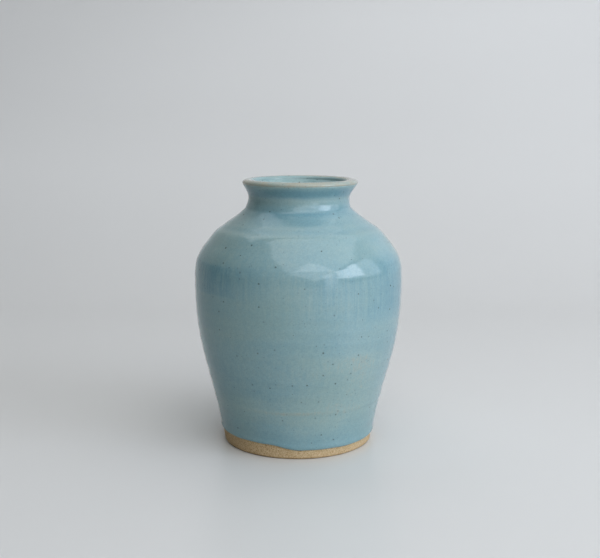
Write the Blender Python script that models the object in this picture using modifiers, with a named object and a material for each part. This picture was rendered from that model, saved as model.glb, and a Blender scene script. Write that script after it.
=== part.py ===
"""Wheel-thrown stoneware bud vase, glazed inside and out, with a bare clay foot.

The vase stands on Z = 0 with its axis on Z and its front towards -Y. It is three fired layers:
the stoneware body, thrown in one piece, the coat of glaze on its outside, and the liner glaze
inside, which laps over the lip. All lengths are metres and all angles are radians.
"""

import math

import bmesh
import bpy
import numpy as np
from mathutils import Vector
from mathutils.geometry import interpolate_bezier

# The outside of the clay wall, from the foot up. A station is a radius and a height, and a pull
# is how far the curve keeps a station's direction before it bends away.
CLAY_HEIGHT = 0.1073  # table to the top of the clay lip
FOOT_RADIUS = 0.0305
FOOT_ROUNDING = 0.0008  # radius of the foot's worn outer edge
FOOT_LEAN = math.radians(7.7)  # outward lean of the wall where it leaves the foot
FOOT_PULL = 0.0285
BELLY_RADIUS = 0.0417
BELLY_HEIGHT = 0.0661  # height of the widest ring
BELLY_PULL_DOWN = 0.0301
BELLY_PULL_UP = 0.0092
SHOULDER_RADIUS = 0.0344
SHOULDER_DROP = 0.0220  # lip top down to the middle of the shoulder
SHOULDER_LEAN = math.radians(39.4)  # inward lean of the wall there
SHOULDER_PULL_DOWN = 0.0110
SHOULDER_PULL_UP = 0.0060
NECK_RADIUS = 0.0199
NECK_DROP = 0.0076  # lip top down to the narrowest ring
NECK_PULL_DOWN = 0.0066
NECK_PULL_UP = 0.0044
LIP_RADIUS = 0.0231  # outer corner of the lip
LIP_FLARE = math.radians(33.0)  # outward lean of the wall at the lip
LIP_PULL = 0.0012
LIP_THICKNESS = 0.0036
LIP_CROWN = 0.0009  # how far the lip's rounded edge stands above its two corners

# The inside and the underside of the clay.
WALL_THICKNESS = 0.0042  # from the belly to the neck
FOOT_WALL_THICKNESS = 0.0055  # the wall is left thicker low down
FLOOR_HEIGHT = 0.0065  # table to the clay floor inside
FLOOR_ROUNDING = 0.0070  # radius where the inner wall meets the floor
RECESS_DEPTH = 0.0012  # shallow turned recess under the foot
RECESS_SLOPE = 0.0016  # width of the recess's sloping edge
FOOT_RING_WIDTH = 0.0080

# The glaze. It is fused to the clay, and the bond stands as a thin even gap between the solids.
GLAZE_THICKNESS = 0.0004
BOND_GAP = 0.0003
LINER_LAP = 0.0006  # how far the liner comes down the outside, below the lip's outer corner
GLAZE_LINE_HEIGHT = 0.0037  # lower edge of the outer glaze over most of the foot
GLAZE_LINE_STEP = 0.0024  # how much higher that edge stands on the front left
GLAZE_LINE_WAVE = 0.0003  # slow waver along the edge
GLAZE_LINE_BLEND = 0.0090  # height over the edge where the glaze's rings lie level again

# How finely the curves are cut.
SIDES = 48
BELLY_CUTS = 9  # foot to belly
SHOULDER_CUTS = 6  # belly to shoulder
NECK_CUTS = 6  # shoulder to neck
LIP_NECK_CUTS = 4  # neck to lip
LIP_CUTS = 6
FLOOR_CUTS = 4
FOOT_CUTS = 3
LEAST_STEP = 0.0008  # a section's points keep this far from a point that is added to it

QUARTER_TURN_PULL = 0.5523  # the pull that makes a quarter circle, as a share of its radius
MERGE_DISTANCE = 0.00001


def clear_scene():
    for obj in list(bpy.data.objects):
        bpy.data.objects.remove(obj, do_unlink=True)


def point(radius, height):
    """A point of the vase's section, drawn in the XZ plane."""
    return Vector((radius, 0.0, height))


def leaning(angle):
    """The direction of a wall that rises with this outward lean."""
    return Vector((math.sin(angle), 0.0, math.cos(angle)))


def outward(direction):
    """The way that faces out from a wall that rises in this direction."""
    return Vector((direction.z, 0.0, -direction.x))


def bend(start, start_pull, end_pull, end, cuts):
    """Points of a smooth curve that leaves start along start_pull and meets end along end_pull."""
    points = interpolate_bezier(start, start + start_pull, end - end_pull, end, cuts + 1)
    return [Vector(p) for p in points]


def joined(*curves):
    """The curves end to end, each leaving out the point that it shares with the one before."""
    points = list(curves[0])
    for curve in curves[1:]:
        points += curve[1:]
    return points


def shifted(points, distances):
    """The curve moved to the right of the way it runs, by one distance or by one for each point.

    Each straight moves square to itself, so a layer between the two curves keeps its thickness
    round the bends.
    """
    sides = [outward((b - a).normalized()) for a, b in zip(points, points[1:])]
    moved = []
    for i, distance in enumerate(np.broadcast_to(distances, len(points))):
        before, after = sides[max(i - 1, 0)], sides[min(i, len(sides) - 1)]
        moved.append(points[i] + (before + after) * float(distance) / (1 + before.dot(after)))
    return moved


def at_height(points, height):
    """The point where a rising curve passes this height."""
    heights = [p.z for p in points]
    radii = [p.x for p in points]
    return point(float(np.interp(height, heights, radii)), height)


def lip_corners():
    """The outer and inner corners of the clay lip, which are level."""
    height = CLAY_HEIGHT - LIP_CROWN
    return point(LIP_RADIUS, height), point(LIP_RADIUS - LIP_THICKNESS, height)


def outer_wall():
    """The outside of the clay, rising from the foot's rounded edge to the lip's outer corner."""
    foot = point(FOOT_RADIUS, FOOT_ROUNDING)
    belly = point(BELLY_RADIUS, BELLY_HEIGHT)
    shoulder = point(SHOULDER_RADIUS, CLAY_HEIGHT - SHOULDER_DROP)
    neck = point(NECK_RADIUS, CLAY_HEIGHT - NECK_DROP)
    lip = lip_corners()[0]
    up, inward, flared = leaning(0.0), leaning(-SHOULDER_LEAN), leaning(LIP_FLARE)
    return joined(
        bend(foot, leaning(FOOT_LEAN) * FOOT_PULL, up * BELLY_PULL_DOWN, belly, BELLY_CUTS),
        bend(belly, up * BELLY_PULL_UP, inward * SHOULDER_PULL_DOWN, shoulder, SHOULDER_CUTS),
        bend(shoulder, inward * SHOULDER_PULL_UP, up * NECK_PULL_DOWN, neck, NECK_CUTS),
        bend(neck, up * NECK_PULL_UP, flared * LIP_PULL, lip, LIP_NECK_CUTS),
    )


def lip_edge():
    """The lip's rounded edge, half an ellipse from its outer corner over the top to its inner one."""
    outer, inner = lip_corners()
    middle, half = (outer + inner) / 2, (outer - inner) / 2
    turns = [math.pi * i / LIP_CUTS for i in range(LIP_CUTS + 1)]
    return [middle + half * math.cos(turn) + point(0.0, LIP_CROWN) * math.sin(turn) for turn in turns]


def inner_wall():
    """The inside of the clay, falling from the lip's inner corner to the middle of the floor."""
    outer = outer_wall()
    lip_wall = LIP_THICKNESS * math.cos(LIP_FLARE)
    lip_wall_height = outer[-1].z - lip_wall * math.sin(LIP_FLARE)
    heights = [0.0, BELLY_HEIGHT, CLAY_HEIGHT - NECK_DROP, lip_wall_height]
    walls = [FOOT_WALL_THICKNESS, WALL_THICKNESS, WALL_THICKNESS, lip_wall]
    inside = shifted(outer, [-np.interp(p.z, heights, walls) for p in outer])
    top = lip_corners()[1]
    corner = at_height(inside, FLOOR_HEIGHT + FLOOR_ROUNDING)
    floor_edge = point(corner.x - FLOOR_ROUNDING, FLOOR_HEIGHT)
    wall = [p for p in inside if corner.z + LEAST_STEP < p.z < top.z - LEAST_STEP]
    down, inward = leaning(math.pi), leaning(-math.pi / 2)
    pull = FLOOR_ROUNDING * QUARTER_TURN_PULL
    rounding = bend(corner, down * pull, inward * pull, floor_edge, FLOOR_CUTS)
    return joined([top, *reversed(wall), corner], rounding, [floor_edge, point(0.0, FLOOR_HEIGHT)])


def underside():
    """The foot from its rounded outer edge, across the ring it stands on, to the recess's middle."""
    centre = point(FOOT_RADIUS - FOOT_ROUNDING, FOOT_ROUNDING)
    turns = [math.pi / 2 * i / FOOT_CUTS for i in range(FOOT_CUTS + 1)]
    edge = [centre + Vector((math.cos(turn), 0.0, -math.sin(turn))) * FOOT_ROUNDING for turn in turns]
    ring_inside = point(FOOT_RADIUS - FOOT_RING_WIDTH, 0.0)
    recess_edge = ring_inside + Vector((-RECESS_SLOPE, 0.0, RECESS_DEPTH))
    return [*edge, ring_inside, recess_edge, point(0.0, RECESS_DEPTH)]


def glaze_line(bearing):
    """Height of the outer glaze's lower edge. The bearing is 0 at the front and grows to the right."""

    def eased(value, start, end):
        share = min(max((value - start) / (end - start), 0.0), 1.0)
        return share * share * (3 - 2 * share)

    left = -math.degrees(bearing)
    step = eased(left, -6.0, 22.0) * (1 - eased(left, 50.0, 165.0))
    waver = math.sin(3 * bearing + 0.6) + 0.5 * math.sin(7 * bearing)
    return GLAZE_LINE_HEIGHT + GLAZE_LINE_STEP * step + GLAZE_LINE_WAVE * waver


def material(name, colour, roughness):
    made = bpy.data.materials.new(name)
    made.use_nodes = True
    shader = made.node_tree.nodes["Principled BSDF"]
    shader.inputs["Base Color"].default_value = (*colour, 1.0)
    shader.inputs["Roughness"].default_value = roughness
    shader.inputs["Metallic"].default_value = 0.0
    return made


def turned(name, section, collection):
    """An object turned full circle from a section, which runs down the side that faces out."""
    mesh = bpy.data.meshes.new(name)
    mesh.from_pydata(section, [(i, i + 1) for i in range(len(section) - 1)], [])
    obj = bpy.data.objects.new(name, mesh)
    collection.objects.link(obj)
    screw = obj.modifiers.new("turn", "SCREW")
    screw.axis = "Z"
    screw.steps = SIDES
    screw.render_steps = SIDES
    screw.use_smooth_shade = True
    screw.use_merge_vertices = True
    screw.merge_threshold = MERGE_DISTANCE
    return obj


def thicken(obj, thickness):
    """Gives an open turned surface its thickness, on the side that faces out."""
    solid = obj.modifiers.new("thickness", "SOLIDIFY")
    solid.thickness = thickness
    solid.offset = 1.0
    solid.use_even_offset = True


def make_stoneware_body(collection):
    walls = joined(outer_wall(), lip_edge(), inner_wall())
    section = joined([*reversed(walls)], underside())
    body = turned("stoneware_body", section, collection)
    body.data.materials.append(material("buff_stoneware", (0.55, 0.39, 0.21), 0.85))
    return body


def liner_section():
    """The line on which the liner lies, from its lapped edge over the lip and down to the floor."""
    outer = outer_wall()
    lap = at_height(outer, outer[-1].z - LINER_LAP)
    section = shifted(joined([lap, outer[-1]], lip_edge(), inner_wall()), BOND_GAP)
    section[-1] = point(0.0, FLOOR_HEIGHT + BOND_GAP)
    return section


def make_liner_glaze(collection):
    """The glaze inside, which laps over the lip."""
    liner = turned("liner_glaze", [*reversed(liner_section())], collection)
    thicken(liner, GLAZE_THICKNESS)
    liner.data.materials.append(material("celadon_liner", (0.36, 0.47, 0.46), 0.15))
    return liner


def make_outer_glaze(collection):
    """The glaze outside. Its lowest rings are slid along the wall to its wandering lower edge."""
    wall = shifted(outer_wall(), BOND_GAP)
    top = at_height(wall, liner_section()[0].z - BOND_GAP * math.cos(LIP_FLARE))
    level = GLAZE_LINE_HEIGHT + GLAZE_LINE_BLEND
    low = [at_height(wall, GLAZE_LINE_HEIGHT + GLAZE_LINE_BLEND * share) for share in (0, 0.5, 1)]
    middle = [p for p in wall if level + LEAST_STEP < p.z < top.z - LEAST_STEP]
    section = [*low, *middle, top]
    guide = turned("outer_glaze_guide", [*reversed(section)], collection)
    graph = bpy.context.evaluated_depsgraph_get()
    mesh = bpy.data.meshes.new_from_object(guide.evaluated_get(graph))
    bpy.data.objects.remove(guide, do_unlink=True)

    edit = bmesh.new()
    edit.from_mesh(mesh)
    for vertex in edit.verts:
        if vertex.co.z < level:
            bearing = math.atan2(vertex.co.x, -vertex.co.y)
            share = (level - vertex.co.z) / GLAZE_LINE_BLEND
            there = at_height(wall, level - share * (level - glaze_line(bearing)))
            around = Vector((math.sin(bearing), -math.cos(bearing), 0.0))
            vertex.co = around * there.x + Vector((0.0, 0.0, there.z))
    edit.to_mesh(mesh)
    edit.free()

    glaze = bpy.data.objects.new("outer_glaze", mesh)
    collection.objects.link(glaze)
    thicken(glaze, GLAZE_THICKNESS)
    mesh.materials.append(material("celadon_glaze", (0.25, 0.40, 0.45), 0.12))
    return glaze


def main():
    clear_scene()
    vase = bpy.data.collections.new("bud_vase")
    bpy.context.scene.collection.children.link(vase)
    make_stoneware_body(vase)
    make_liner_glaze(vase)
    make_outer_glaze(vase)


main()
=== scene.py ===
"""Wheel-thrown stoneware bud vase with a celadon glaze, dressed in detail round its CAD frame.

The vase is three fired layers that share one wall: the buff clay body, the coat of glaze on its
outside, and the liner glaze inside, which laps over the lip. Each is a class that turns its own
section, gives it what the thrower's hands and the kiln left in it, and dresses it in its finish.

Lengths are metres, and a name that ends in _mm holds millimetres. A bearing is an angle round the
vase in degrees, 0 at the front and growing to the right.
"""

from __future__ import annotations

import logging
import math
from bisect import bisect_left
from collections.abc import Callable
from dataclasses import dataclass
from enum import Enum
from functools import cached_property

import bmesh
import bpy
from mathutils import Matrix, Vector, noise
from mathutils.geometry import interpolate_bezier

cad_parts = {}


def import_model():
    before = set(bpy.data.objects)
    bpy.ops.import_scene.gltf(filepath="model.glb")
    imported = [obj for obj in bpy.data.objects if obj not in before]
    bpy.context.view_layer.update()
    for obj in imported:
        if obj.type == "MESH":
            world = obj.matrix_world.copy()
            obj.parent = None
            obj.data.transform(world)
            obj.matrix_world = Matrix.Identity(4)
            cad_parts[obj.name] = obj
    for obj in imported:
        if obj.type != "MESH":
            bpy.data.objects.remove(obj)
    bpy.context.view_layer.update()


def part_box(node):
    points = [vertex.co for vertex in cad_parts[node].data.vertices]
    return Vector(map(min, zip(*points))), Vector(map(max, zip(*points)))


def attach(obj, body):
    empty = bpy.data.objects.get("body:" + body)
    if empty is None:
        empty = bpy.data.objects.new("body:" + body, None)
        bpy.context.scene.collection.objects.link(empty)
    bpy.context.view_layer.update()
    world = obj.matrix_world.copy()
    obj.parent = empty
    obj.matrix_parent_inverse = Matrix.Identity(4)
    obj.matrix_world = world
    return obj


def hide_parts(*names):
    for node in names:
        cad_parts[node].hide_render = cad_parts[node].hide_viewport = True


MM = 0.001
ROOT = "root"  # the one body of a part with no joints
QUARTER_PULL = 0.5523  # the pull that makes a quarter circle, as a share of its radius
CURVE_POINTS = 100  # points along one curve of the wall, before it is spaced out anew
BEND_POINTS = 24  # points along the bend into the floor
MERGE = 0.002 * MM  # points closer than this are one
ALL_ROUND = 360.0  # the reach of a patch that goes all round
COLOUR_A, COLOUR_B, COLOUR_OUT = 6, 7, 2  # the Mix node's colour sockets, whose names others share

log = logging.getLogger("bud_vase")


class Coat(Enum):
    """The vertex attributes that carry how a fired surface varies."""

    BUILD = "glaze_build"  # how thick the glaze lies, with a painted reflection in front of the neck laid on as extra thickness: 0 is bare clay, 1 is a deep pool
    STREAK = "glaze_streak"  # how strongly it ran in streaks
    SPECKS = "iron_specks"  # how thickly iron specks are sown
    SOIL_AND_SHADE = "kiln_soil_and_contact_shade"  # how far bare clay is darkened by handling and the kiln shelf, and by painted contact shade along the foot's edge


# ------------------------------------------------------------------------------- small helpers


def linear(code: str) -> tuple[float, float, float, float]:
    """Turns an sRGB hex colour into the linear one that a shader takes.

    Args:
        code: The colour, such as "#8FB0AC".

    Returns:
        Linear red, green and blue, and an alpha of 1.
    """
    parts = [int(code[i : i + 2], 16) / 255 for i in (1, 3, 5)]
    red, green, blue = (c / 12.92 if c <= 0.04045 else ((c + 0.055) / 1.055) ** 2.4 for c in parts)
    return red, green, blue, 1.0


def eased(value: float, start: float, end: float) -> float:
    """Rises smoothly from 0 to 1 as a value goes from a start to an end.

    Args:
        value: The value.
        start: Where the rise starts.
        end: Where it ends, which may also be below the start.

    Returns:
        The share risen, from 0 to 1.
    """
    share = (value - start) / (end - start)
    if share <= 0.0:
        return 0.0
    return 1.0 if share >= 1.0 else share * share * (3 - 2 * share)


def hump(away: float, width: float) -> float:
    """A smooth hump of height 1, which has fallen to about a third at one width away."""
    return math.exp(-((away / width) ** 2))


def turn(bearing: float, other: float) -> float:
    """The angle in degrees from the other bearing to this one, from -180 to 180."""
    return (bearing - other + 180.0) % 360.0 - 180.0


def towards(bearing: float) -> Vector:
    """The level direction of a bearing in degrees."""
    around = math.radians(bearing)
    return Vector((math.sin(around), -math.cos(around), 0.0))


@dataclass(frozen=True)
class Spot:
    """A place on the vase's skin.

    Attributes:
        bearing: Where round the vase it is.
        z_mm: How high up.
        radius_mm: How far from the axis.
    """

    bearing: float
    z_mm: float
    radius_mm: float

    @classmethod
    def at(cls, place: Vector) -> Spot:
        """The spot at a point in metres."""
        bearing = math.degrees(math.atan2(place.x, -place.y))
        return cls(bearing, place.z / MM, math.hypot(place.x, place.y) / MM)

    def moved(self, out_mm: float, up_mm: float = 0.0) -> Spot:
        """The spot this far further out and up."""
        return Spot(self.bearing, self.z_mm + up_mm, self.radius_mm + out_mm)


Field = Callable[[Spot], float]


@dataclass(frozen=True)
class Cloud:
    """Smooth noise on the vase's skin, which closes up round the back.

    Attributes:
        amount: How far it strays from 0.
        across: How many clouds fit across the vase's radius.
        rise_mm: How tall a cloud is.
        seed: Which of the many such noises.
    """

    amount: float
    across: float
    rise_mm: float
    seed: int

    def at(self, spot: Spot) -> float:
        """The noise at a spot.

        Args:
            spot: Where on the vase.

        Returns:
            A value from about -amount to amount.
        """
        around = math.radians(spot.bearing)
        out, back = self.across * math.sin(around), self.across * math.cos(around)
        up = spot.z_mm / self.rise_mm
        place = (out + 17.3 * self.seed, back - 9.1 * self.seed, up + 5.7 * self.seed)
        return self.amount * noise.noise(place)


@dataclass(frozen=True)
class Fade:
    """An effect that fades out smoothly, upwards or downwards.

    Attributes:
        full: Where it is still full.
        gone: Where it has gone.
        amount: How strong it is where it is full.
    """

    full: float
    gone: float
    amount: float = 1.0

    def at(self, value: float) -> float:
        """How strong the effect is at a value."""
        return self.amount * (1 - eased(value, self.full, self.gone))


def add(
    tree: bpy.types.NodeTree, kind: str, settings: dict[str, object], links: dict[str | int, object]
) -> bpy.types.Node:
    """Adds a node to a material with its settings and what goes into its sockets.

    Args:
        tree: The material's nodes.
        kind: The node's type without its "ShaderNode", such as "Math".
        settings: The node's own options, by name.
        links: For each input, by name or by number, a value or another node's output.

    Returns:
        The new node.
    """
    node = tree.nodes.new("ShaderNode" + kind)
    for name, value in settings.items():
        setattr(node, name, value)
    for name, value in links.items():
        if isinstance(value, bpy.types.NodeSocket):
            tree.links.new(value, node.inputs[name])
        else:
            node.inputs[name].default_value = value
    return node


# --------------------------------------------------------------------------- lines and turning


def outward(direction: Vector) -> Vector:
    """The direction to the right of the way a section runs, which is out from a rising wall."""
    return Vector((direction.z, 0.0, -direction.x))


def shifted(points: list[Vector], distance: float) -> list[Vector]:
    """Moves a line sideways, to the right of the way it runs.

    Args:
        points: The line's points.
        distance: How far it moves.

    Returns:
        The moved points, each on the mitre of its corner.
    """
    sides = [outward((b - a).normalized()) for a, b in zip(points, points[1:])]
    moved = []
    for i, point in enumerate(points):
        before, after = sides[max(i - 1, 0)], sides[min(i, len(sides) - 1)]
        moved.append(point + (before + after) * distance / (1 + before.dot(after)))
    return moved


def respaced(points: list[Vector], spacing: float) -> list[Vector]:
    """Places new points along a line at an even spacing, keeping both ends.

    Args:
        points: The line's own points.
        spacing: The most that two new points may be apart.

    Returns:
        The new points.
    """
    steps = [(b - a).length for a, b in zip(points, points[1:])]
    count = max(1, math.ceil(sum(steps) / spacing))
    placed, walked, index = [points[0].copy()], 0.0, 0
    for i in range(1, count):
        target = sum(steps) * i / count
        while walked + steps[index] < target:
            walked += steps[index]
            index += 1
        placed.append(points[index].lerp(points[index + 1], (target - walked) / steps[index]))
    return [*placed, points[-1].copy()]


def between(points: list[Vector], low: float, high: float) -> list[Vector]:
    """Cuts a rising line cleanly at two heights.

    Args:
        points: The line's points.
        low: The lower height.
        high: The upper one.

    Returns:
        The part of the line between them.
    """
    kept = []
    for a, b in zip(points, points[1:]):
        for height in (low, high):
            if a.z < height <= b.z:
                kept.append(a.lerp(b, (height - a.z) / (b.z - a.z)))
        if low < b.z < high:
            kept.append(b)
    if points[0].z >= low:
        kept.insert(0, points[0])
    return sorted(kept, key=lambda p: p.z)


def turned(section: list[Vector], steps: int, sectors: int = 10) -> bmesh.types.BMesh:
    """Turns a section a full circle round the vase's axis.

    Args:
        section: Points in the XZ plane, which may touch the axis at the ends.
        steps: How many steps make the turn.
        sectors: How many equal sectors the turn is put together from. It divides steps.

    Returns:
        The turned surface, with its doubles merged.
    """
    mesh = bmesh.new()
    verts = [mesh.verts.new(point) for point in section]
    edges = [mesh.edges.new(pair) for pair in zip(verts, verts[1:])]
    bmesh.ops.spin(
        mesh, geom=[*verts, *edges], cent=(0, 0, 0), axis=(0, 0, 1), dvec=(0, 0, 0),
        angle=2 * math.pi / sectors, steps=steps // sectors, use_merge=False, use_duplicate=False,
    )
    sector = [*mesh.verts, *mesh.edges, *mesh.faces]
    for i in range(1, sectors):
        copied = bmesh.ops.duplicate(mesh, geom=sector)["geom"]
        moved = [part for part in copied if isinstance(part, bmesh.types.BMVert)]
        on_round = Matrix.Rotation(2 * math.pi * i / sectors, 3, "Z")
        bmesh.ops.rotate(mesh, verts=moved, cent=(0, 0, 0), matrix=on_round)
    bmesh.ops.remove_doubles(mesh, verts=mesh.verts, dist=MERGE)
    return mesh


def finished(name: str, mesh: bmesh.types.BMesh, paint: dict[Coat, Field]) -> bpy.types.Object:
    """Makes a closed mesh an object, shaded smooth, and writes its vertex attributes.

    Args:
        name: The object's name.
        mesh: The shape, which is used up.
        paint: For each attribute, its value as a function of the spot.

    Returns:
        The new object.
    """
    bmesh.ops.recalc_face_normals(mesh, faces=mesh.faces)
    data = bpy.data.meshes.new(name)
    mesh.to_mesh(data)
    mesh.free()
    data.shade_smooth()
    spots = [Spot.at(vertex.co) for vertex in data.vertices]
    for coat, value in paint.items():
        layer = data.attributes.new(coat.value, "FLOAT", "POINT")
        layer.data.foreach_set("value", [value(spot) for spot in spots])
    obj = bpy.data.objects.new(name, data)
    bpy.context.scene.collection.objects.link(obj)
    return obj


# ------------------------------------------------------------------------------ the vase's form


@dataclass(frozen=True)
class Station:
    """A place that the wall's section passes, and the way that it leans there.

    Attributes:
        radius: Distance from the axis.
        height: Height over the table.
        lean: Outward lean of the wall in degrees.
        pull_down: How far below the station the wall keeps that lean.
        pull_up: How far above it.
    """

    radius: float
    height: float
    lean: float
    pull_down: float
    pull_up: float

    @property
    def place(self) -> Vector:
        """The station as a point of the section, in the XZ plane."""
        return Vector((self.radius, 0.0, self.height))

    @property
    def way(self) -> Vector:
        """The direction in which the wall rises here."""
        lean = math.radians(self.lean)
        return Vector((math.sin(lean), 0.0, math.cos(lean)))


@dataclass(frozen=True)
class ThrownWall:
    """The section of the fired and glazed wall. The clay is the same section, set in by the glaze.

    Attributes:
        rim: Height of the top of the glazed lip.
        belly: Radius of the glazed belly.
        floor: Height of the glazed floor inside.
        foot_in: How much less than the belly's the foot's radius is.
        shoulder_in: The same, where the shoulder turns up into the neck.
        waist_in: The same, at the neck's narrowest place.
        lip_in: The same, at the lip's outer corner.
        foot_lift: Height of the foot's outer edge, over its rounding.
        belly_lift: Height of the belly's widest place.
        shoulder_drop: How far below the rim the shoulder turns up.
        waist_drop: How far below it the neck is narrowest.
        lip_drop: How far below it the lip's outer corner is.
        glaze: Thickness of the fired glaze.
        wall: Thickness of the wall with its glaze.
        lip: Thickness of the lip with its glaze.
        under_lip: Thickness just under the lip, as a share of the lip's.
        thinning: How the wall thins towards the lip, by the distance below the rim.
        crown: Power of the lip's crown. 1 is a half ellipse, and less is flatter.
        lip_clear: Length of the inside that gives way to the lip's inner corner.
        floor_round: Radius where the inside of the wall meets the floor.
    """

    rim: float
    belly: float
    floor: float
    foot_in: float = 11.25 * MM
    shoulder_in: float = 7.46 * MM
    waist_in: float = 21.85 * MM
    lip_in: float = 18.95 * MM
    foot_lift: float = 0.8 * MM
    belly_lift: float = 66.1 * MM
    shoulder_drop: float = 22.3 * MM
    waist_drop: float = 7.8 * MM
    lip_drop: float = 1.4 * MM
    glaze: float = 0.55 * MM
    wall: float = 5.6 * MM
    lip: float = 4.8 * MM
    under_lip: float = 0.86
    thinning: Fade = Fade(2 * MM, 9 * MM)
    crown: float = 0.9
    lip_clear: float = 1.0 * MM
    floor_round: float = 6.3 * MM

    @classmethod
    def from_frame(cls) -> ThrownWall:
        """Reads the overall sizes off the CAD nodes.

        Returns:
            The wall's section at the frame's size.
        """
        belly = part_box("outer_glaze")[1].x
        liner_low, liner_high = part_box("liner_glaze")
        liner = 0.4 * MM  # from the underside of the frame's liner up to the glazed floor
        return cls(rim=liner_high.z, belly=belly, floor=liner_low.z + liner)

    @property
    def foot(self) -> float:
        """Radius of the foot at its outer edge."""
        return self.belly - self.foot_in

    def outside(self) -> list[Vector]:
        """Draws the glazed outside.

        Returns:
            Its points, rising from the foot's edge to the lip's outer corner.
        """
        insets = (self.shoulder_in, self.waist_in, self.lip_in)
        shoulder, waist, corner = (self.belly - inset for inset in insets)
        stations = [
            Station(self.foot, self.foot_lift, 7.7, 0.0, 28.5 * MM),
            Station(self.belly, self.belly_lift, 0.0, 30.1 * MM, 9.4 * MM),
            Station(shoulder, self.rim - self.shoulder_drop, -39.4, 11.2 * MM, 6.5 * MM),
            Station(waist, self.rim - self.waist_drop, 0.0, 6.6 * MM, 2.4 * MM),
            Station(corner, self.rim - self.lip_drop, 24.0, 2.4 * MM, 0.0),
        ]
        line = [stations[0].place]
        for low, high in zip(stations, stations[1:]):
            start = low.place + low.way * low.pull_up
            end = high.place - high.way * high.pull_down
            curve = interpolate_bezier(low.place, start, end, high.place, CURVE_POINTS)
            line += [Vector(point) for point in curve[1:]]
        return line

    def lip_edge(self) -> list[Vector]:
        """Rounds the lip's edge.

        Returns:
            Its points, from the outer corner over the rim to the inner corner.
        """
        outer, half = self.outside()[-1], self.lip / 2
        middle, rise = outer - Vector((half, 0.0, 0.0)), self.rim - outer.z
        turns = [math.pi * i / 60 for i in range(61)]
        return [
            middle + Vector((half * math.cos(a), 0.0, rise * math.sin(a) ** self.crown)) for a in turns
        ]

    def inside(self) -> list[Vector]:
        """Draws the glazed inside.

        Returns:
            Its points, falling from the lip's inner corner to the middle of the floor.
        """
        outer, corner = self.outside(), self.lip_edge()[-1]
        inner = []
        for point, unit_in in zip(outer, shifted(outer, -MM)):
            thinned = self.thinning.at(self.rim - point.z)
            depth = self.wall + (self.lip * self.under_lip - self.wall) * thinned
            inner.append(point + (unit_in - point) * depth / MM)
        turn_height = self.floor + self.floor_round
        wall = [p for p in reversed(inner) if turn_height < p.z < corner.z - self.lip_clear]
        start = Vector((wall[-1].x, 0.0, turn_height))
        end = Vector((start.x - self.floor_round, 0.0, self.floor))
        pull = self.floor_round * QUARTER_PULL
        down, out = start - Vector((0.0, 0.0, pull)), end + Vector((pull, 0.0, 0.0))
        bend = [Vector(point) for point in interpolate_bezier(start, down, out, end, BEND_POINTS)]
        return [corner, *wall, *bend, Vector((0.0, 0.0, self.floor))]


@dataclass(frozen=True)
class Ridge:
    """A ring that stands up from the wall, or a groove where its rise is negative.

    Attributes:
        height_mm: How high up the vase it runs.
        width_mm: Half its width.
        rise_mm: How far it stands out.
        tilt_mm: How far it rises and falls on its way round.
        tilt_bearing: Where round the vase it is highest.
    """

    height_mm: float
    width_mm: float
    rise_mm: float
    tilt_mm: float = 0.3
    tilt_bearing: float = 60.0

    def at(self, spot: Spot) -> float:
        """How far this ring stands out at a spot, in millimetres."""
        tilt = self.tilt_mm * math.cos(math.radians(spot.bearing - self.tilt_bearing))
        return self.rise_mm * hump(spot.z_mm - self.height_mm - tilt, self.width_mm)


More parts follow.
